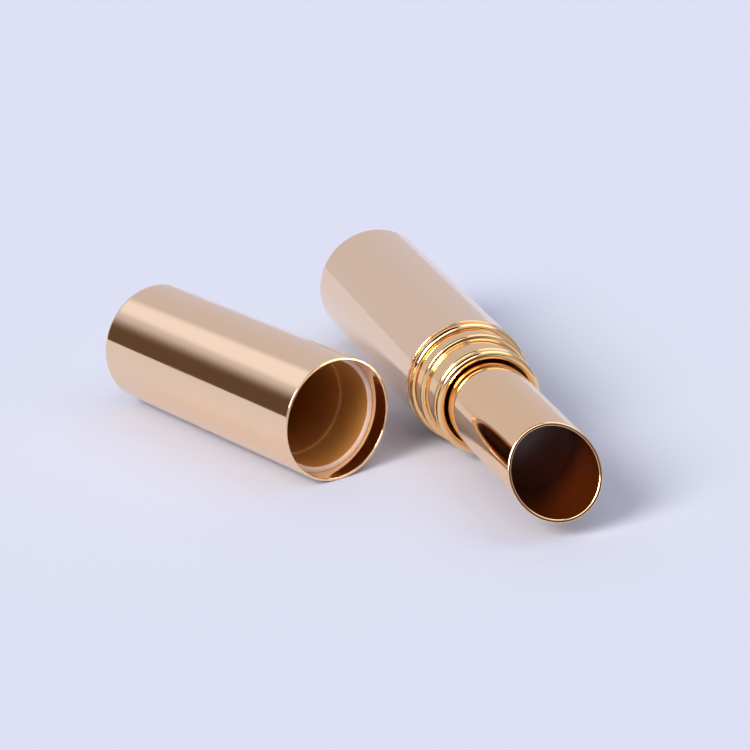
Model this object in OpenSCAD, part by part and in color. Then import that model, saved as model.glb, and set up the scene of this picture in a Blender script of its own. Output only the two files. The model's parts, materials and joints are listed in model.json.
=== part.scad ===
// Slim twist-up lipstick case, empty, with its cap lying beside it.
//
// Every round piece is drawn about its own axis, along local +Z, which points
// out of the cup. Heights on the base are measured from the front edge of its
// outer shell; heights in the cap are measured from the plane of its mouth and
// are negative inside. The two groups are then laid on the ground, z = 0.

/* [Bullet and cup] */
// Diameter of the lipstick bullet that the cup holds
bullet_d = 11.1; // [8:0.1:14]
// Wall of the cup's metal tube
cup_wall = 0.45; // [0.3:0.05:0.8]
// Depth of the bullet seat, from the middle of the mouth to its floor
seat_depth = 9.5; // [6:0.5:14]
// Slant of the cup's mouth, in degrees
mouth_slant = 23; // [0:1:35]
// Way round the tube to the mouth's longest point, in degrees
mouth_turn = -70; // [-180:5:180]
// How far the retracted cup's tip stays below the lip of the neck
tip_inset = 0.85; // [0.2:0.05:3]

/* [Mechanism] */
// Wall of the slotted sleeve that guides the cup
slot_sleeve_wall = 0.42; // [0.4:0.02:1]
// Wall of the spiral sleeve
spiral_wall = 0.78; // [0.7:0.02:1.4]
// Depth of the two spiral grooves
groove_depth = 0.5; // [0.4:0.02:0.6]
// Rise of the cup for one turn of the neck
lead = 20; // [12:0.5:30]
// Radius of the two lugs that ride in the grooves
lug_r = 0.7; // [0.5:0.05:1]
// Room round a lug in its slot and groove
lug_gap = 0.25; // [0.1:0.05:0.4]
// Radial clearance of every running fit
run_gap = 0.08; // [0.03:0.01:0.1]

/* [Neck] */
// Wall of the metal sleeve that forms the neck
sleeve_wall = 0.34; // [0.3:0.02:0.6]
// Step inwards from the hidden part of that sleeve to the neck
neck_step = 0.35; // [0.2:0.05:0.6]
// Height of the neck's lip above the shell's front edge
neck_h = 10.4; // [9:0.2:16]
// Radius of the rolled lip
lip_roll_r = 0.6; // [0.5:0.02:0.64]
// How far the rolled lip stands out of the neck
lip_out = 0.06; // [0:0.01:0.08]
// Height of the thin bead below the lip
bead_below_lip = 1.55; // [1.35:0.05:2.4]
// How far that bead stands out of the neck
neck_bead_out = 0.1; // [0.05:0.01:0.12]
// Depth of the throat between that bead and the lip
throat_depth = 0.15; // [0.05:0.01:0.2]

/* [Bead ring] */
// Gap between the shell's front edge and the ring
ring_gap = 0.15; // [0.1:0.05:0.4]
// Length of the ring's wide bead
wide_bead_l = 1.5; // [1:0.1:2.5]
// How far the wide bead stays inside the shell's outer radius
wide_bead_in = 0.05; // [0.05:0.05:0.4]
// Length of the groove between the two beads
ring_groove_l = 0.6; // [0.4:0.1:1.2]
// Depth of that groove below the narrow bead
ring_groove_depth = 0.4; // [0.2:0.05:0.45]
// Length of the narrow bead
narrow_bead_l = 2.4; // [1.6:0.1:3]
// How far the narrow bead stays inside the bore of the shells
narrow_bead_in = 0.2; // [0.1:0.05:0.3]
// Edge radius of the wide bead
wide_edge_r = 0.7; // [0.2:0.05:0.75]
// Edge radius of the narrow bead
narrow_edge_r = 0.35; // [0.1:0.05:0.4]
// Radius of the cove between the narrow bead and the neck
cove_r = 0.25; // [0.1:0.05:0.25]

/* [Base] */
// Length of the base's outer shell
base_len = 48; // [40:0.5:65]
// Wall of both outer shells
shell_wall = 0.4; // [0.3:0.05:0.8]
// Outer edge radius at the closed end of both shells
shell_edge_r = 0.8; // [0.5:0.1:2]
// Wall of the guide ring between the shell and the neck's sleeve
guide_wall = 0.42; // [0.4:0.02:1.2]
// Length of the guide ring
guide_l = 4.8; // [3:0.2:8]
// Thickness of the weight
weight_l = 4; // [2:0.5:6]

/* [Cap] */
// Length of the cap's outer shell
cap_len = 45; // [30:0.5:60]
// Gap between the closed cap's liner and the ring's narrow bead
liner_clear = 0.1; // [0.05:0.05:2]
// Radial clearance of the liner on the bead of the neck
cap_gap = 0.03; // [0.01:0.01:0.1]
// Step inwards from the part that grips the neck to the rest of the bore
liner_step = 0.43; // [0.2:0.05:1]
// Thickness of the liner's closed end
liner_floor = 1.2; // [0.8:0.1:2]

/* [Layout] */
// Turn of the cap from the base's axis, in degrees
cap_yaw = 21.5; // [15:0.5:30]
// Clear space between the cap's mouth and the base, measured across the base
cap_aside = 3.7; // [2:0.1:20]
// How far the cap's mouth is in front of the shell's front edge
cap_ahead = 8.9; // [0:0.1:20]

/* [Hidden] */

$fn = 96;
eps = 0.01;

// Radii, worked out from the bullet outwards
bullet_r = bullet_d / 2;
cup_r = bullet_r + cup_wall;
slot_sleeve_in = cup_r + run_gap;
slot_sleeve_r = slot_sleeve_in + slot_sleeve_wall;
spiral_in = slot_sleeve_r + run_gap;
spiral_r = spiral_in + spiral_wall;
groove_r = spiral_in + groove_depth;
sleeve_r = spiral_r + sleeve_wall;
guide_in = sleeve_r + run_gap;
shell_in = guide_in + guide_wall;
shell_r = shell_in + shell_wall;
neck_r = sleeve_r - neck_step;
neck_in = neck_r - sleeve_wall;
wide_bead_r = shell_r - wide_bead_in;
narrow_bead_r = shell_in - narrow_bead_in;
ring_groove_r = narrow_bead_r - ring_groove_depth;
wide_edge = min(wide_edge_r, 0.47 * wide_bead_l);
liner_grip_r = neck_r + neck_bead_out + cap_gap;
liner_bore_r = liner_grip_r - liner_step;

// Heights on the base
shoulder_h = -0.6;
shoulder_t = 0.4;
weight_top = shell_wall - base_len + weight_l;
core_floor_t = 1.2;
socket_floor = weight_top + core_floor_t;
core_wall = 0.6;
socket_gap = 0.4;        // the sleeve's foot is this much wider than the sleeve
mech_floor = 10.8;       // weight, core and foot under the slotted sleeve
foot_h = -base_len + mech_floor;
flange_t = 1;
friction_wire_r = 0.4;
friction_gap = 0.2;
spiral_bottom = foot_h + 2 * friction_wire_r + friction_gap;
spiral_end_wall = 1;
groove_end = 0.3;        // groove beyond the lug's room, at its top end
guide_below_edge = 0.4;
carrier_below_lug = 2;
lug_below_shoulder = 2;
lug_top = shoulder_h - lug_below_shoulder;      // lug's centre with the cup out
lug_bottom_room = 0.65;
lug_bottom = spiral_bottom + spiral_end_wall + lug_r + lug_gap + lug_bottom_room;
stroke = lug_top - lug_bottom;
lip_h = neck_h - lip_roll_r;
lip_r = neck_r + lip_out - lip_roll_r;
neck_bead_h = neck_h - bead_below_lip;
neck_bead_roll_r = 0.35;
slot_sleeve_top = neck_h - 2 * lip_roll_r - 0.3;
collar_from = shoulder_h + 0.2;                 // collar that centres the slotted sleeve
collar_l = 1;

// Heights on the cup, with the cup out
mouth_half = cup_r * tan(mouth_slant);
mouth_h = neck_h - tip_inset - mouth_half + stroke;
seat_h = mouth_h - seat_depth;
seat_floor_t = 1;
shell_above_lug = 3.6;
cup_shell_bottom = lug_top + shell_above_lug;
carrier_bottom = lug_top - carrier_below_lug;
carrier_wall = 0.8;
stem_step = 0.2;         // the tube is thinner round the carrier's stem than round the seat

// Heights on the bead ring and in the cap
wide_bead_top = ring_gap + wide_bead_l;
narrow_bead_bottom = wide_bead_top + ring_groove_l;
narrow_bead_top = narrow_bead_bottom + narrow_bead_l;
liner_inset = narrow_bead_top - wide_bead_top + liner_clear;   // rim below the cap's mouth
lip_to_step = 0.3;
grip_depth = neck_h - wide_bead_top + lip_to_step;
grip_l = grip_depth + 3;                        // part of the liner that fills the shell's bore
liner_back = shell_edge_r - cap_len;
liner_foot_l = 3;
liner_relief = 0.35;

// Spiral groove
lug_end_gap = 0.1;
groove_cut = 0.3;        // the cut starts this far inside the sleeve's bore
groove_mid_r = (spiral_in + groove_r) / 2;
helix_angle = atan(lead / (2 * PI * groove_mid_r));
groove_half_angle = (lug_r + lug_gap) / sin(helix_angle) / groove_mid_r * 180 / PI;
groove_steps = 4;
twist_step = 12;

// Ground plan: the origin is under the middle of everything, on the ground
cap_dir_x = sin(cap_yaw);
cap_dir_y = cos(cap_yaw);
cap_x = -2 * shell_r - cap_aside;
cap_y = -cap_ahead;
cap_far_x = cap_x - (cap_len - shell_edge_r) * cap_dir_x;
cap_far_y = cap_y + (cap_len - shell_edge_r) * cap_dir_y;
cap_far_reach_x = (shell_r - shell_edge_r) * cap_dir_y + shell_edge_r;
cap_far_reach_y = (shell_r - shell_edge_r) * cap_dir_x + shell_edge_r;
plan_left = cap_far_x - cap_far_reach_x;
plan_right = shell_r;
plan_front = -max(mouth_h + mouth_half, cap_ahead + shell_r * cap_dir_x);
plan_back = max(base_len, cap_far_y + cap_far_reach_y);
base_x = -(plan_left + plan_right) / 2;
base_y = -(plan_front + plan_back) / 2;

module on_base() {
    translate([base_x, base_y, shell_r])
        rotate([90, 0, 0])
            children();
}

module on_cap() {
    translate([base_x + cap_x, base_y + cap_y, shell_r])
        rotate([0, 0, cap_yaw])
            rotate([90, 0, 0])
                children();
}

// A straight ring between two radii and two heights
module ring(r_in, r_out, from, to) {
    rotate_extrude()
        translate([r_in, from])
            square([r_out - r_in, to - from]);
}

// Half section of a bar whose lower outer corner is rounded
module round_end_section(r, edge, bottom, top) {
    translate([0, bottom + edge])
        square([r, top - bottom - edge]);
    translate([0, bottom])
        square([r - edge, edge]);
    translate([r - edge, bottom + edge])
        circle(edge);
}

// Drawn metal tube, closed at its lower end
module drawn_tube(len) {
    rotate_extrude()
        difference() {
            intersection() {
                round_end_section(shell_r, shell_edge_r, -len, 0);
                translate([0, -len])
                    square([shell_r, len]);
            }
            difference() {
                round_end_section(shell_in, shell_edge_r - shell_wall, shell_wall - len, eps);
                translate([-shell_r, -len])
                    square([shell_r, 2 * len]);
            }
        }
}

// Half section of a bead with two rounded outer corners
module bead_section(r_in, r_out, edge, from, to) {
    intersection() {
        union() {
            translate([r_in, from])
                square([r_out - edge - r_in, to - from]);
            translate([r_in, from + edge])
                square([r_out - r_in, to - from - 2 * edge]);
            for (h = [from + edge, to - edge])
                translate([r_out - edge, h])
                    circle(edge);
        }
        translate([r_in, from])
            square([r_out - r_in, to - from]);
    }
}

module base_shell() {
    color("burlywood")
        on_base()
            drawn_tube(base_len);
}

// Moulded core: holds the weight and the foot of the slotted sleeve
module base_core() {
    color("whitesmoke")
        on_base() {
            ring(shell_in - core_wall, shell_in, shell_edge_r - base_len, weight_top);
            ring(0, shell_in, weight_top, socket_floor);
            ring(slot_sleeve_r + socket_gap, shell_in, socket_floor, foot_h - flange_t);
        }
}

module base_weight() {
    color("slategray")
        on_base()
            ring(0, shell_in - core_wall, shell_wall - base_len, weight_top);
}

module guide_ring() {
    color("white")
        on_base()
            ring(guide_in, shell_in, -guide_below_edge - guide_l, -guide_below_edge);
}

// Slotted sleeve: fixed to the core, keeps the cup from turning
module slot_sleeve() {
    slot_w = 2 * (lug_r + lug_gap);
    slot_bottom = lug_bottom - lug_r - lug_gap;
    slot_top = lug_top + lug_r + lug_gap;
    color("dimgray")
        on_base()
            difference() {
                union() {
                    ring(0, slot_sleeve_r + socket_gap, socket_floor, foot_h - flange_t + eps);
                    ring(0, spiral_r, foot_h - flange_t, foot_h);
                    ring(0, slot_sleeve_r, foot_h - eps, slot_sleeve_top);
                    ring(slot_sleeve_in, neck_in - run_gap, collar_from, collar_from + collar_l);
                }
                translate([0, 0, foot_h])
                    cylinder(r = slot_sleeve_in, h = slot_sleeve_top - foot_h + 1);
                translate([-spiral_r, -slot_w / 2, slot_bottom])
                    cube([2 * spiral_r, slot_w, slot_top - slot_bottom]);
            }
}

// Rubber ring that makes the turn feel smooth
module friction_ring() {
    color("darkslategray")
        on_base()
            rotate_extrude()
                translate([(slot_sleeve_r + spiral_r) / 2, foot_h + friction_wire_r])
                    circle(friction_wire_r);
}

// Metal sleeve: turns in the guide ring, and its front is the neck with a rolled lip
module neck_sleeve() {
    color("gold")
        on_base()
            rotate_extrude() {
                translate([spiral_r, spiral_bottom])
                    square([sleeve_wall, shoulder_h - spiral_bottom + shoulder_t]);
                translate([neck_in, shoulder_h])
                    square([sleeve_r - neck_in, shoulder_t]);
                translate([neck_in, shoulder_h])
                    square([sleeve_wall, neck_bead_h - shoulder_h]);
                translate([neck_in - throat_depth, neck_bead_h])
                    square([sleeve_wall, lip_h - neck_bead_h]);
                intersection() {
                    translate([neck_r + neck_bead_out - neck_bead_roll_r, neck_bead_h])
                        circle(neck_bead_roll_r);
                    translate([neck_in, 0])
                        square([sleeve_wall + neck_bead_out, neck_h]);
                }
                translate([lip_r, lip_h])
                    circle(lip_roll_r);
            }
}

// Ring with two beads, pressed on the neck
module bead_ring() {
    color("goldenrod")
        on_base()
            rotate_extrude() {
                bead_section(neck_r, wide_bead_r, wide_edge, ring_gap, wide_bead_top);
                translate([neck_r, wide_bead_top - eps])
                    square([ring_groove_r - neck_r, ring_groove_l + 2 * eps]);
                bead_section(neck_r, narrow_bead_r, narrow_edge_r, narrow_bead_bottom, narrow_bead_top);
                difference() {
                    translate([neck_r, narrow_bead_top - eps])
                        square([cove_r, cove_r + eps]);
                    translate([neck_r + cove_r, narrow_bead_top + cove_r])
                        circle(cove_r);
                }
            }
}

module groove_section() {
    inner = [for (i = [groove_steps : -1 : 0])
        let (a = groove_half_angle * (2 * i / groove_steps - 1))
        (spiral_in - groove_cut) * [cos(a), sin(a)]];
    outer = [for (i = [0 : groove_steps])
        let (a = groove_half_angle * (2 * i / groove_steps - 1))
        groove_r * [cos(a), sin(a)]];
    polygon(concat(inner, outer));
}

// Spiral sleeve: its two grooves lift the cup's lugs when the neck turns
module spiral_sleeve() {
    from = spiral_bottom + spiral_end_wall;
    groove_l = lug_top + lug_r + lug_gap + groove_end - from;
    color("ivory")
        on_base()
            difference() {
                ring(spiral_in, spiral_r, spiral_bottom, shoulder_h);
                for (side = [0, 180])
                    rotate([0, 0, side + 360 * (from - lug_top) / lead])
                        translate([0, 0, from])
                            linear_extrude(height = groove_l, twist = -360 * groove_l / lead, $fn = 8,
                                           slices = ceil(360 * groove_l / lead / twist_step))
                                groove_section();
            }
}

// Metal tube of the cup, cut off on a slant at its mouth
module cup_shell() {
    color("burlywood")
        on_base()
            difference() {
                ring(bullet_r, cup_r, cup_shell_bottom, mouth_h + mouth_half + 1);
                ring(0, bullet_r + stem_step, cup_shell_bottom - 1, seat_h);
                translate([0, 0, mouth_h])
                    rotate([0, 0, mouth_turn])
                        rotate([0, -mouth_slant, 0])
                            translate([-2 * cup_r, -2 * cup_r, 0])
                                cube([4 * cup_r, 4 * cup_r, 4 * cup_r]);
            }
}

// Moulded carrier inside the cup: bullet floor above, two lugs below
module cup_carrier() {
    color("saddlebrown")
        on_base()
            difference() {
                union() {
                    ring(0, cup_r, carrier_bottom, cup_shell_bottom);
                    ring(0, bullet_r + stem_step, cup_shell_bottom - eps, seat_h);
                    translate([0, 0, lug_top])
                        rotate([0, 90, 0])
                            cylinder(r = lug_r, h = 2 * (groove_r - lug_end_gap), center = true);
                }
                translate([0, 0, carrier_bottom - 1])
                    cylinder(r = bullet_r - carrier_wall, h = seat_h - seat_floor_t - carrier_bottom + 1);
            }
}

module cap_shell() {
    color("burlywood")
        on_cap()
            drawn_tube(cap_len);
}

// Moulded liner: its stepped bore grips the neck
module cap_liner() {
    color("lightgray")
        on_cap()
            difference() {
                ring(0, shell_in, liner_back, -liner_inset);
                translate([0, 0, -grip_depth])
                    cylinder(r = liner_grip_r, h = grip_depth);
                translate([0, 0, liner_back + liner_floor])
                    cylinder(r = liner_bore_r, h = cap_len);
                ring(shell_in - liner_relief, shell_r, liner_back + liner_foot_l, -grip_l);
            }
}

base_shell();
base_core();
base_weight();
guide_ring();
slot_sleeve();
friction_ring();
neck_sleeve();
bead_ring();
spiral_sleeve();
cup_shell();
cup_carrier();
cap_shell();
cap_liner();
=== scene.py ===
import json
import math

import bmesh
import bpy
from mathutils import Matrix, Vector


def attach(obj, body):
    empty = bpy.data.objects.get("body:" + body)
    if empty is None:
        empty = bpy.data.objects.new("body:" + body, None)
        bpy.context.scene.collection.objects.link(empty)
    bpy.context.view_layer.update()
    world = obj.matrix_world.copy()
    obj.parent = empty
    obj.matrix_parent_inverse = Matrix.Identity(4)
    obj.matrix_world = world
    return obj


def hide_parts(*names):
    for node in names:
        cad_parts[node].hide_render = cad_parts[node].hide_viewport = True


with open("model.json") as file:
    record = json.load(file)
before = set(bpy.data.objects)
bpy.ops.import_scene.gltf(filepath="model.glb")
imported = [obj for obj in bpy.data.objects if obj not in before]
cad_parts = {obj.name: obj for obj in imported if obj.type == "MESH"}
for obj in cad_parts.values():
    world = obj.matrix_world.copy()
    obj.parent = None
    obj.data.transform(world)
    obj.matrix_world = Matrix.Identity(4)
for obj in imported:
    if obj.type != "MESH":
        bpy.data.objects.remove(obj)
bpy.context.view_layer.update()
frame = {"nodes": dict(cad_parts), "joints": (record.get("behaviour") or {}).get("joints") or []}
scene = bpy.context.scene
mm = 0.001
tiny = 1e-6           # smaller than any real size, in mm or in metres


def linear(hexColour):
    # sRGB hex to the linear values that the shaders work in
    parts = [int(hexColour[i:i + 2], 16) / 255 for i in (1, 3, 5)]
    return [c / 12.92 if c <= 0.04045 else ((c + 0.055) / 1.055) ** 2.4 for c in parts] + [1.0]


def scaled(colour, factor):
    return [min(1.0, c * factor) for c in colour[:3]] + [1.0]


def direction(azimuth, elevation):
    # azimuth runs from straight behind the pieces (+Y) towards their right (+X)
    a, e = math.radians(azimuth), math.radians(elevation)
    return Vector((math.sin(a) * math.cos(e), math.cos(a) * math.cos(e), math.sin(e)))


def addNode(tree, kind, inputs=None, **settings):
    # a socket given as an input becomes a link, anything else its value
    node = tree.nodes.new(kind)
    for name, value in settings.items():
        setattr(node, name, value)
    for name, value in (inputs or {}).items():
        if isinstance(value, bpy.types.NodeSocket):
            tree.links.new(value, node.inputs[name])
        else:
            node.inputs[name].default_value = value
    return node


def newMaterial(name):
    material = bpy.data.materials.new(name)
    material.use_nodes = True
    material.node_tree.nodes.clear()
    return material, material.node_tree


def axisOf(node, outward):
    # a round CAD piece's own frame: +Z out of its mouth, origin on its axis, level with its front
    side = Vector((0, 0, 1)).cross(outward).normalized()
    turn = Matrix((side, outward.cross(side), outward)).transposed()
    points = [turn.transposed() @ v.co for v in frame["nodes"][node].data.vertices]
    low = [min(p[i] for p in points) for i in range(3)]
    high = [max(p[i] for p in points) for i in range(3)]
    origin = turn @ Vector(((low[0] + high[0]) / 2, (low[1] + high[1]) / 2, high[2]))
    return Matrix.Translation(origin) @ turn.to_4x4()


capJoint = next(j for j in frame["joints"] if j["name"] == "cap_slide")
baseFrame = axisOf("base_shell", Vector((0, -1, 0)))
capFrame = axisOf("cap_shell", -Vector(capJoint["axis"]).normalized())


def extent(node, place):
    # largest radius, lowest and highest point of a CAD node in its own frame, in mm
    local = [place.inverted() @ v.co / mm for v in frame["nodes"][node].data.vertices]
    heights = [p.z for p in local]
    return max(math.hypot(p.x, p.y) for p in local), min(heights), max(heights)


supportGap = 0.04     # mm, a ring this close to each rounding keeps the long faces' shading flat


def roundOff(corners, steps=8):
    # corners are (radius, height, rounding) in mm, in order round the closed half section
    line = []
    for i, (r, h, rounding) in enumerate(corners):
        here = Vector((r, h))
        if rounding == 0:
            line.append(here)
            continue
        before = (Vector(corners[i - 1][:2]) - here).normalized()
        after = (Vector(corners[(i + 1) % len(corners)][:2]) - here).normalized()
        half = before.angle(after) / 2
        cut = rounding / math.tan(half)
        centre = here + (before + after).normalized() * rounding / math.sin(half)
        start, end = here + before * cut, here + after * cut
        sweep = (start - centre).angle_signed(end - centre)
        support = min(supportGap, cut * 0.3)
        line.append(start + before * support)
        for k in range(steps + 1):
            spoke = (start - centre).copy()
            spoke.rotate(Matrix.Rotation(-sweep * k / steps, 2))
            line.append(centre + spoke)
        line.append(end + after * support)
    return line


def arc(r, h, radius, start, end, steps=24):
    # points on an arc in the half section, angles in degrees from straight outwards
    line = []
    for k in range(steps + 1):
        a = math.radians(start + (end - start) * k / steps)
        line.append(Vector((r + radius * math.cos(a), h + radius * math.sin(a))))
    return line


sharpAngle = 25       # degrees, a crease sharper than this isn't shaded smooth


def turned(name, place, line, body, replaces, steps=256):
    # spins a closed half section round the piece's own axis
    mesh = bpy.data.meshes.new(name)
    bm = bmesh.new()
    rings = []
    for point in line:
        if point.x < tiny:
            rings.append([bm.verts.new((0, 0, point.y * mm))])
            continue
        ring = []
        for k in range(steps):
            a = 2 * math.pi * k / steps
            ring.append(bm.verts.new((
                point.x * math.cos(a) * mm, point.x * math.sin(a) * mm, point.y * mm)))
        rings.append(ring)
    for i, ring in enumerate(rings):
        after = rings[(i + 1) % len(rings)]
        if len(ring) == 1 and len(after) == 1:
            continue
        for k in range(steps):
            m = (k + 1) % steps
            around = [ring[k % len(ring)], ring[m % len(ring)],
                      after[m % len(after)], after[k % len(after)]]
            bm.faces.new(list(dict.fromkeys(around)))
    bmesh.ops.recalc_face_normals(bm, faces=bm.faces)
    for face in bm.faces:
        face.smooth = True
    bm.to_mesh(mesh)
    bm.free()
    mesh.set_sharp_from_angle(angle=math.radians(sharpAngle))
    piece = bpy.data.objects.new(name, mesh)
    scene.collection.objects.link(piece)
    piece.matrix_world = place
    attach(piece, body)
    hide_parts(replaces)
    return piece


print("turning the metal pieces")

shell = {
    "wall": 0.4,
    "endEdge": 0.8,      # outer rounding at the closed end
    "mouthEdge": 0.14,   # the mouth's wall is broken on both sides
}


def drawnTube(name, place, body, node):
    outer, back, front = extent(node, place)
    wall, edge, lip = shell["wall"], shell["endEdge"], shell["mouthEdge"]
    return turned(name, place, roundOff([
        (0, back, 0),
        (outer, back, edge),
        (outer, front, lip),
        (outer - wall, front, lip),
        (outer - wall, back + wall, edge - wall),
        (0, back + wall, 0),
    ]), body, node)


baseTube = drawnTube("baseTube", baseFrame, "base", "base_shell")
capTube = drawnTube("capTube", capFrame, "cap", "cap_shell")

neck = {
    "wall": 0.34,
    "outer": 7.35,
    "lipRoll": 0.6,
    "lipOut": 0.06,       # how far the rolled lip stands out of the neck
    "beadBelowLip": 1.55,
    "beadOut": 0.1,
    "beadRoll": 0.35,
    "throat": 0.15,       # depth of the dip between the bead and the lip
    "shoulder": -0.2,     # front and back of the hidden shoulder, from the shell's edge
    "shoulderBack": -0.6,
}


def neckLine():
    n = neck
    sleeveR, foot, top = extent("neck_sleeve", baseFrame)
    outer, inner = n["outer"], n["outer"] - n["wall"]
    dipOuter, dipInner = outer - n["throat"], inner - n["throat"]
    lipR, lipH = outer + n["lipOut"] - n["lipRoll"], top - n["lipRoll"]
    beadR, beadH = outer + n["beadOut"] - n["beadRoll"], top - n["beadBelowLip"]
    beadFoot = math.degrees(math.acos((outer - beadR) / n["beadRoll"]))
    beadTop = math.degrees(math.acos((dipOuter - beadR) / n["beadRoll"]))
    lipFoot = math.degrees(math.acos((dipOuter - lipR) / n["lipRoll"]))
    lipEnd = math.degrees(math.acos((dipInner - lipR) / n["lipRoll"]))
    line = [Vector((sleeveR, foot)), Vector((sleeveR, n["shoulder"])), Vector((outer, n["shoulder"]))]
    line += arc(beadR, beadH, n["beadRoll"], -beadFoot, beadTop, 16)
    line += arc(lipR, lipH, n["lipRoll"], -lipFoot, 360 - lipEnd, 64)
    line += [Vector((dipInner, beadH)), Vector((inner, beadH)), Vector((inner, n["shoulderBack"])),
             Vector((sleeveR - n["wall"], n["shoulderBack"])), Vector((sleeveR - n["wall"], foot))]
    return line


neckSleeve = turned("neckSleeve", baseFrame, neckLine(), "collar", "neck_sleeve")

beads = {
    "wide": 1.5,
    "wideEdge": 0.7,
    "groove": 0.6,
    "grooveR": 7.6,
    "grooveFillet": 0.08,
    "narrowR": 8.0,
    "narrowEdge": 0.35,
    "cove": 0.25,         # radius of the hollow between the narrow bead and the neck
}


def beadLine():
    b = beads
    wideR, back, front = extent("bead_ring", baseFrame)
    wideTop = back + b["wide"]
    narrowBack = wideTop + b["groove"]
    narrowTop = front - b["cove"]
    line = roundOff([
        (neck["outer"], back, 0),
        (wideR, back, b["wideEdge"]),
        (wideR, wideTop, b["wideEdge"]),
        (b["grooveR"], wideTop, b["grooveFillet"]),
        (b["grooveR"], narrowBack, 0),
        (b["narrowR"], narrowBack, b["narrowEdge"]),
        (b["narrowR"], narrowTop, b["narrowEdge"]),
        (neck["outer"] + b["cove"], narrowTop, 0),
    ], 12)
    return line[:-1] + arc(neck["outer"] + b["cove"], front, b["cove"], -90, -180, 12)


beadRing = turned("beadRing", baseFrame, beadLine(), "collar", "bead_ring")

cup = {
    "wall": 0.45,
    "rimEdge": 0.15,
    "slant": 23,          # degrees
    "turn": -70,          # way round to the mouth's longest point
    "leanFrom": 3,        # the slant is given to everything this close to the mouth
}


def cupLine():
    outer, back, front = extent("cup_shell", baseFrame)
    middle = front - outer * math.tan(math.radians(cup["slant"]))
    return roundOff([
        (outer, back, 0),
        (outer, middle, cup["rimEdge"]),
        (outer - cup["wall"], middle, cup["rimEdge"]),
        (outer - cup["wall"], back, 0),
    ])


cupTube = turned("cupTube", baseFrame, cupLine(), "cup", "cup_shell")
slope, wayRound = math.tan(math.radians(cup["slant"])), math.radians(cup["turn"])
rimStart = max(v.co.z for v in cupTube.data.vertices) - cup["leanFrom"] * mm
for vertex in cupTube.data.vertices:
    if vertex.co.z > rimStart:
        across = vertex.co.x * math.cos(wayRound) + vertex.co.y * math.sin(wayRound)
        vertex.co.z += across * slope

print("turning the cap's liner")

liner = {
    "gripR": 7.48,
    "gripDepth": 9.05,
    "boreR": 7.05,
    "floor": 1.2,
    "relief": 0.35,
    "reliefFrom": 3.0,    # the relief starts this far from the liner's closed end
    "reliefTo": 12.05,    # and ends this far below the cap's mouth
    "outerEdge": 0.1,
    "rimEdge": 0.3,
    "gripFoot": 0.05,     # rounding where the grip meets the step
    "stepEdge": 0.2,
    "floorFillet": 0.3,
    "paleRim": 0.18,      # painted light: the paler lit band goes this far below the rim
}


def linerLine():
    p = liner
    outer, back, front = extent("cap_liner", capFrame)
    return roundOff([
        (0, back, 0),
        (outer, back, 0),
        (outer, back + p["reliefFrom"], 0),
        (outer - p["relief"], back + p["reliefFrom"], 0),
        (outer - p["relief"], -p["reliefTo"], 0),
        (outer, -p["reliefTo"], 0),
        (outer, front, p["outerEdge"]),
        (p["gripR"], front, p["rimEdge"]),
        (p["gripR"], -p["gripDepth"], p["gripFoot"]),
        (p["boreR"], -p["gripDepth"], p["stepEdge"]),
        (p["boreR"], back + p["floor"], p["floorFillet"]),
        (0, back + p["floor"], 0),
    ])


capLiner = turned("capLiner", capFrame, linerLine(), "cap", "cap_liner")

print("making the materials")

shellGold = {
    "colour": "#FDDAB3",
    "roughness": 0.07,
    "lines": (1, 1, 0.03),      # stretched along the axis, as the tube was drawn
    "lineWidth": 0.35,          # mm, real draw lines are about 0.02, too fine to show
    "lineDepth": 0.0006,
    "swellWidth": 6,
    "swellDepth": 0.02,
}
# turned pieces: the lines run round the axis
neckGold = dict(shellGold, colour="#FDD298", roughness=0.05, lines=(0.05, 0.05, 1), lineWidth=0.3,
                swellWidth=3, swellDepth=0.004)
cupGold = dict(shellGold, colour="#FDD4A4", roughness=0.06)


def polishedGold(name, look):
    # champagne gold dye in the oxide of bright-dipped aluminium: the eye gets a warm mirror whose
    # reflections are drawn out a little by the fine lines, and waver over the slow swells
    material, tree = newMaterial(name)
    coords = addNode(tree, "ShaderNodeTexCoord")
    along = addNode(tree, "ShaderNodeMapping", {
        "Vector": coords.outputs["Object"], "Scale": look["lines"]})
    lines = addNode(tree, "ShaderNodeTexNoise", {
        "Vector": along.outputs[0], "Scale": 1 / (look["lineWidth"] * mm), "Detail": 3})
    swell = addNode(tree, "ShaderNodeTexNoise", {
        "Vector": along.outputs[0], "Scale": 1 / (look["swellWidth"] * mm), "Detail": 1})
    rough = addNode(tree, "ShaderNodeMapRange", {
        "Value": lines.outputs[0], "From Min": 0.3, "From Max": 0.7,
        "To Min": look["roughness"] * 0.8, "To Max": look["roughness"] * 1.35})
    fine = addNode(tree, "ShaderNodeBump", {
        "Height": lines.outputs[0], "Strength": 1, "Distance": look["lineDepth"] * mm})
    bump = addNode(tree, "ShaderNodeBump", {
        "Height": swell.outputs[0], "Strength": 1, "Distance": look["swellDepth"] * mm,
        "Normal": fine.outputs[0]})
    dye = addNode(tree, "ShaderNodeMix", {
        "Factor": swell.outputs[0], 6: scaled(linear(look["colour"]), 0.97),
        7: scaled(linear(look["colour"]), 1.03)}, data_type="RGBA")
    shader = addNode(tree, "ShaderNodeBsdfPrincipled", {
        "Base Color": dye.outputs[2], "Metallic": 1.0, "Roughness": rough.outputs[0],
        "Normal": bump.outputs[0]})
    addNode(tree, "ShaderNodeOutputMaterial", {"Surface": shader.outputs[0]})
    return material


# painted light: the liner's brown is pale plastic tinted by the gold shell's light and darkened as
# painted shade inside the cap
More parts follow.
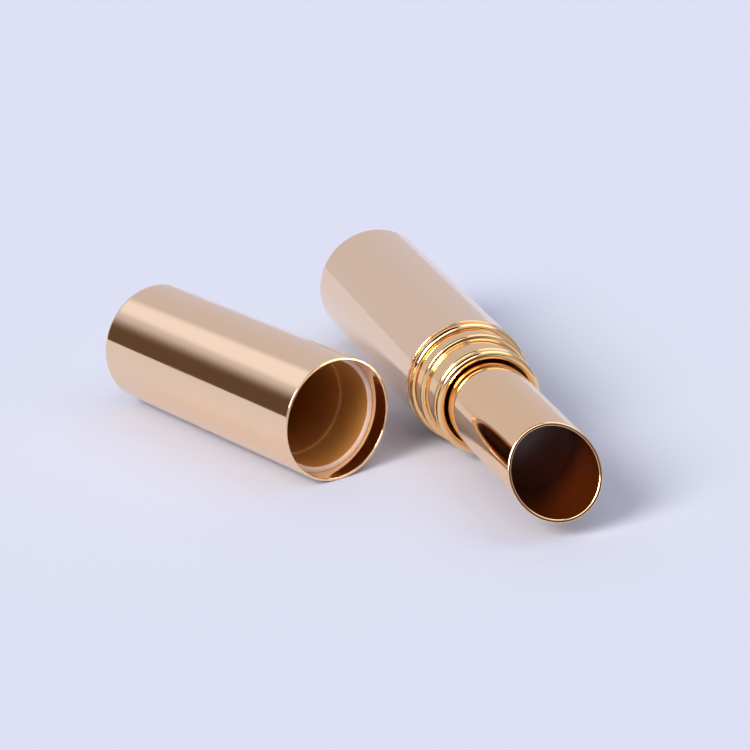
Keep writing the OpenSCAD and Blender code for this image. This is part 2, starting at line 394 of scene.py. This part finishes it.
linerPlastic = {
    "colour": "#C08848",
    "roughness": 0.35,
    "grain": 0.08,        # mm, as are the depth, cloud and scatter
    "depth": 0.001,
    "cloud": 3,
    "subsurface": 0.9,
    "scatter": 1.5,
    "ior": 1.49,
}
# painted highlight: a paler, lit copy of the same plastic for the rim
linerLitRim = dict(linerPlastic, colour="#D8C6BC", roughness=0.55, subsurface=0.3)
carrierPlastic = dict(linerPlastic, colour="#4E1C00", roughness=0.22, grain=0.1, depth=0.0008,
                      subsurface=0, ior=1.54)
# painted shade: the sleeve is near black because its rim sits recessed in the dark gap under the lip
sleevePaintedShade = dict(carrierPlastic, colour="#12100F", roughness=0.25)
corePlastic = dict(linerPlastic, colour="#E6E4DE", roughness=0.4, grain=0.1, depth=0.0015,
                   subsurface=0.1, ior=1.48)
spiralPlastic = dict(corePlastic, colour="#E9E2CC", roughness=0.3, grain=0.12, depth=0.001,
                     subsurface=0.25)


def mouldedPlastic(name, look):
    # injection-moulded: the eye gets a soft sheen broken by the spark-eroded grain of the mould,
    # and faint clouds where the melt cooled unevenly
    material, tree = newMaterial(name)
    coords = addNode(tree, "ShaderNodeTexCoord")
    cloud = addNode(tree, "ShaderNodeTexNoise", {
        "Vector": coords.outputs["Object"], "Scale": 1 / (look["cloud"] * mm), "Detail": 2})
    grain = addNode(tree, "ShaderNodeTexNoise", {
        "Vector": coords.outputs["Object"], "Scale": 1 / (look["grain"] * mm)})
    tint = addNode(tree, "ShaderNodeMix", {
        "Factor": cloud.outputs[0], 6: scaled(linear(look["colour"]), 0.9),
        7: scaled(linear(look["colour"]), 1.1)}, data_type="RGBA")
    rough = addNode(tree, "ShaderNodeMapRange", {
        "Value": grain.outputs[0],
        "To Min": look["roughness"] * 0.85, "To Max": look["roughness"] * 1.2})
    bump = addNode(tree, "ShaderNodeBump", {
        "Height": grain.outputs[0], "Strength": 1, "Distance": look["depth"] * mm})
    shader = addNode(tree, "ShaderNodeBsdfPrincipled", {
        "Base Color": tint.outputs[2], "Roughness": rough.outputs[0], "Normal": bump.outputs[0],
        "IOR": look["ior"], "Subsurface Weight": look["subsurface"],
        "Subsurface Scale": look["scatter"] * mm})
    addNode(tree, "ShaderNodeOutputMaterial", {"Surface": shader.outputs[0]})
    return material


# painted shade: a dark brown coat on the cup's inside wall stands in for the shade in its hollow
cupShadeLook = {
    "colour": "#451700",
    "roughness": 0.3,
    "orangePeel": 0.5,    # mm, as is its depth
    "depth": 0.004,
    "mottle": 4,            # mm, size of the random lighter and darker patches in the painted shade
    "coat": 0.15,
    "coatRoughness": 0.15,
}


def paintedShadeCoat(name, look):
    # painted shade: a dark, deep brown over the bare inside of a drawn tube stands in for the shade
    # in its hollow; its gloss breaks up over the orange peel
    material, tree = newMaterial(name)
    coords = addNode(tree, "ShaderNodeTexCoord")
    peel = addNode(tree, "ShaderNodeTexNoise", {
        "Vector": coords.outputs["Object"], "Scale": 1 / (look["orangePeel"] * mm), "Detail": 1})
    mottle = addNode(tree, "ShaderNodeTexNoise", {
        "Vector": coords.outputs["Object"], "Scale": 1 / (look["mottle"] * mm), "Detail": 2})
    tint = addNode(tree, "ShaderNodeMix", {
        "Factor": mottle.outputs[0], 6: scaled(linear(look["colour"]), 0.8),
        7: scaled(linear(look["colour"]), 1.2)}, data_type="RGBA")
    bump = addNode(tree, "ShaderNodeBump", {
        "Height": peel.outputs[0], "Strength": 1, "Distance": look["depth"] * mm})
    shader = addNode(tree, "ShaderNodeBsdfPrincipled", {
        "Base Color": tint.outputs[2], "Roughness": look["roughness"], "Normal": bump.outputs[0],
        "IOR": 1.5, "Coat Weight": look["coat"], "Coat Roughness": look["coatRoughness"]})
    addNode(tree, "ShaderNodeOutputMaterial", {"Surface": shader.outputs[0]})
    return material


steel = {
    "colour": "#9A9BA0",
    "roughness": 0.3,
    "feed": 0.12,         # mm a turn of the lathe
    "depth": 0.003,
}


def turnedSteel(name, look):
    # bar steel faced on a lathe: the eye gets fine rings round the axis that fan the highlight out
    material, tree = newMaterial(name)
    coords = addNode(tree, "ShaderNodeTexCoord")
    centred = addNode(tree, "ShaderNodeMapping", {
        "Vector": coords.outputs["Object"], "Location": -baseFrame.translation})
    # a wave texture at scale 1 repeats every pi / 10
    rings = addNode(tree, "ShaderNodeTexWave", {
        "Vector": centred.outputs[0], "Scale": math.pi / 10 / (look["feed"] * mm), "Distortion": 0.4,
        "Detail": 2}, wave_type="RINGS", rings_direction="Y")
    rough = addNode(tree, "ShaderNodeMapRange", {
        "Value": rings.outputs["Fac"],
        "To Min": look["roughness"] * 0.8, "To Max": look["roughness"] * 1.3})
    bump = addNode(tree, "ShaderNodeBump", {
        "Height": rings.outputs["Fac"], "Strength": 1, "Distance": look["depth"] * mm})
    shader = addNode(tree, "ShaderNodeBsdfPrincipled", {
        "Base Color": linear(look["colour"]), "Metallic": 1.0, "Roughness": rough.outputs[0],
        "Normal": bump.outputs[0]})
    addNode(tree, "ShaderNodeOutputMaterial", {"Surface": shader.outputs[0]})
    return material


rubber = {
    "colour": "#161514",
    "bloom": "#2C2A28",
    "bloomWidth": 1.5,    # mm
    "roughness": 0.6,
    "grain": 0.15,
    "depth": 0.006,
}


def mouldedRubber(name, look):
    # compression-moulded nitrile: the eye gets a dull black with a pale bloom in patches
    material, tree = newMaterial(name)
    coords = addNode(tree, "ShaderNodeTexCoord")
    patches = addNode(tree, "ShaderNodeTexNoise", {
        "Vector": coords.outputs["Object"], "Scale": 1 / (look["bloomWidth"] * mm), "Detail": 4})
    grain = addNode(tree, "ShaderNodeTexNoise", {
        "Vector": coords.outputs["Object"], "Scale": 1 / (look["grain"] * mm)})
    bloom = addNode(tree, "ShaderNodeMapRange", {
        "Value": patches.outputs[0], "From Min": 0.45, "From Max": 0.7})
    tint = addNode(tree, "ShaderNodeMix", {
        "Factor": bloom.outputs[0], 6: linear(look["colour"]),
        7: linear(look["bloom"])}, data_type="RGBA")
    bump = addNode(tree, "ShaderNodeBump", {
        "Height": grain.outputs[0], "Strength": 1, "Distance": look["depth"] * mm})
    shader = addNode(tree, "ShaderNodeBsdfPrincipled", {
        "Base Color": tint.outputs[2], "Roughness": look["roughness"], "Normal": bump.outputs[0],
        "IOR": 1.52})
    addNode(tree, "ShaderNodeOutputMaterial", {"Surface": shader.outputs[0]})
    return material


def paint(node, material):
    # an untouched CAD piece keeps its mesh and takes the material in every slot
    mesh = frame["nodes"][node].data
    for i in range(len(mesh.materials)):
        mesh.materials[i] = material
    if not mesh.materials:
        mesh.materials.append(material)


shellMetal = polishedGold("polished champagne anodised aluminium, drawn", shellGold)
neckMetal = polishedGold("polished champagne anodised aluminium, turned", neckGold)
cupMetal = polishedGold("polished champagne anodised aluminium, drawn thin", cupGold)
finishes = ((baseTube, shellMetal), (capTube, shellMetal), (neckSleeve, neckMetal),
            (beadRing, neckMetal), (cupTube, cupMetal))
for piece, metal in finishes:
    piece.data.materials.append(metal)
# painted shade for the cup's inside wall
cupPaintedShade = paintedShadeCoat("dark brown painted shade inside the cup", cupShadeLook)
cupTube.data.materials.append(cupPaintedShade)
cupOuter = max(math.hypot(v.co.x, v.co.y) for v in cupTube.data.vertices)
for face in cupTube.data.polygons:
    # the painted shade covers the inner wall and stops short of the rim's rounding
    corners = [cupTube.data.vertices[i].co for i in face.vertices]
    if max(math.hypot(c.x, c.y) for c in corners) < cupOuter - cup["wall"] * mm + tiny:
        face.material_index = 1

# painted light: a brown copy with painted gold glow and shade inside, a pale lit copy on the rim
capLiner.data.materials.append(mouldedPlastic("natural polypropylene, painted gold glow and shade", linerPlastic))
capLiner.data.materials.append(mouldedPlastic("natural polypropylene, painted lit rim", linerLitRim))
linerFront = max(v.co.z for v in capLiner.data.vertices)
# painted highlight: faces near the front edge take the paler lit copy
for face in capLiner.data.polygons:
    if face.center.z > linerFront - liner["paleRim"] * mm:
        face.material_index = 1

# painted shade: the slot sleeve's near-black stands in for the shade in the gap at the lip
paint("slot_sleeve", mouldedPlastic("moulded glossy plastic, black as painted shade", sleevePaintedShade))
paint("cup_carrier", mouldedPlastic("brown ABS, moulded glossy", carrierPlastic))
whiteAcetal = mouldedPlastic("white acetal, moulded satin", corePlastic)
paint("base_core", whiteAcetal)
paint("guide_ring", whiteAcetal)
paint("spiral_sleeve", mouldedPlastic("natural acetal, moulded satin", spiralPlastic))
paint("base_weight", turnedSteel("mild steel, faced on a lathe", steel))
paint("friction_ring", mouldedRubber("black nitrile rubber, moulded", rubber))

print("setting the stage")

studio = {
    "sky": "#D0CFDE",
    # azimuth, elevation, inner and outer angle from the middle of the patch, colour, strength
    "patches": [
        (95, 5, 25, 45, "#B4B4C0", 0.8),        # dimmer room on the right
        (80, 66, 22, 32, "#FFFFFF", 1.7),       # overhead softbox, right of the pieces
        (-148, 52, 12, 24, "#FFFFFF", 3.2),     # fill softbox, above and left of the camera
        (-36, 43, 9, 17, "#E8ECFF", 1.15),      # small softbox, behind on the left
        (-80, 68, 27, 31, "#140E0A", 0.3),      # unlit ceiling on the left
        (-86, 43, 20, 25, "#140E0A", 0.3),
        (180, -5, 20, 45, "#7A4E28", 0.35),     # unlit room in front
        (-122, 34, 11, 17, "#FFF6EE", 22.0),    # key softbox, in front on the left
        (-62, 5, 11, 28, "#6A5648", 0.8),       # unlit room past the backdrop's left edge
    ],
}


def lightWorld():
    world = bpy.data.worlds.new("studio")
    scene.world = world
    world.use_nodes = True
    tree = world.node_tree
    tree.nodes.clear()
    coords = addNode(tree, "ShaderNodeTexCoord")
    colour = linear(studio["sky"])
    for azimuth, elevation, inner, outer, tint, strength in studio["patches"]:
        toward = addNode(tree, "ShaderNodeVectorMath", {
            0: coords.outputs["Generated"], 1: direction(azimuth, elevation)}, operation="DOT_PRODUCT")
        inside = addNode(tree, "ShaderNodeMapRange", {
            "Value": toward.outputs["Value"], "From Min": math.cos(math.radians(outer)),
            "From Max": math.cos(math.radians(inner))}, interpolation_type="SMOOTHSTEP")
        lit = [c * strength for c in linear(tint)[:3]] + [1]
        mix = addNode(tree, "ShaderNodeMix", {
            "Factor": inside.outputs[0], 6: colour, 7: lit}, data_type="RGBA")
        colour = mix.outputs[2]
    background = addNode(tree, "ShaderNodeBackground", {"Color": colour, "Strength": 1.0})
    addNode(tree, "ShaderNodeOutputWorld", {"Surface": background.outputs[0]})


lightWorld()

table = {
    "colour": "#BAC0D2",
    "halfWidth": 1.6,     # metres
    "roughness": 0.9,
    "fibre": 0.6,         # mm, clumps of fibre, as single ones are too fine to show
    "depth": 0.004,
    "specular": 0.1,
}


def layTable():
    # matt laminated board: the eye gets an even pale lilac with a hint of paper fibre
    half = table["halfWidth"]
    mesh = bpy.data.meshes.new("table")
    corners = [(-half, -half, 0), (half, -half, 0), (half, half, 0), (-half, half, 0)]
    mesh.from_pydata(corners, [], [(0, 1, 2, 3)])
    board = bpy.data.objects.new("table", mesh)
    scene.collection.objects.link(board)
    material, tree = newMaterial("matt laminated board")
    coords = addNode(tree, "ShaderNodeTexCoord")
    fibre = addNode(tree, "ShaderNodeTexNoise", {
        "Vector": coords.outputs["Object"], "Scale": 1 / (table["fibre"] * mm), "Detail": 3})
    tint = addNode(tree, "ShaderNodeMix", {
        "Factor": fibre.outputs[0], 6: scaled(linear(table["colour"]), 0.985),
        7: scaled(linear(table["colour"]), 1.015)}, data_type="RGBA")
    bump = addNode(tree, "ShaderNodeBump", {
        "Height": fibre.outputs[0], "Strength": 1, "Distance": table["depth"] * mm})
    shader = addNode(tree, "ShaderNodeBsdfPrincipled", {
        "Base Color": tint.outputs[2], "Roughness": table["roughness"],
        "Specular IOR Level": table["specular"],
        "Normal": bump.outputs[0]})
    addNode(tree, "ShaderNodeOutputMaterial", {"Surface": shader.outputs[0]})
    mesh.materials.append(material)


layTable()

view = {
    "azimuth": -14.91,
    "elevation": 19.26,
    "distance": 447.7,
    "aimAside": -4.975,   # the aim point on the table, from the front of the base's shell
    "aimBehind": 30.494,
    "roll": -2.2,
    "lens": 144.95,
    "sensor": 36,
    "clipStart": 0.01,    # metres
}


def placeCamera():
    camera = bpy.data.objects.new("camera", bpy.data.cameras.new("camera"))
    scene.collection.objects.link(camera)
    a, e, roll = (math.radians(view[k]) for k in ("azimuth", "elevation", "roll"))
    back = Vector((math.sin(a) * math.cos(e), -math.cos(a) * math.cos(e), math.sin(e)))
    right = Vector((math.cos(a), math.sin(a), 0))
    up = back.cross(right)
    right, up = right * math.cos(roll) + up * math.sin(roll), up * math.cos(roll) - right * math.sin(roll)
    front = baseFrame.translation
    aim = Vector((front.x + view["aimAside"] * mm, front.y + view["aimBehind"] * mm, 0))
    turn = Matrix((right, up, back)).transposed().to_4x4()
    camera.matrix_world = Matrix.Translation(aim + back * view["distance"] * mm) @ turn
    camera.data.lens = view["lens"]
    camera.data.sensor_width = view["sensor"]
    camera.data.clip_start = view["clipStart"]
    scene.camera = camera


placeCamera()
scene.view_settings.view_transform = "Standard"

print("done")
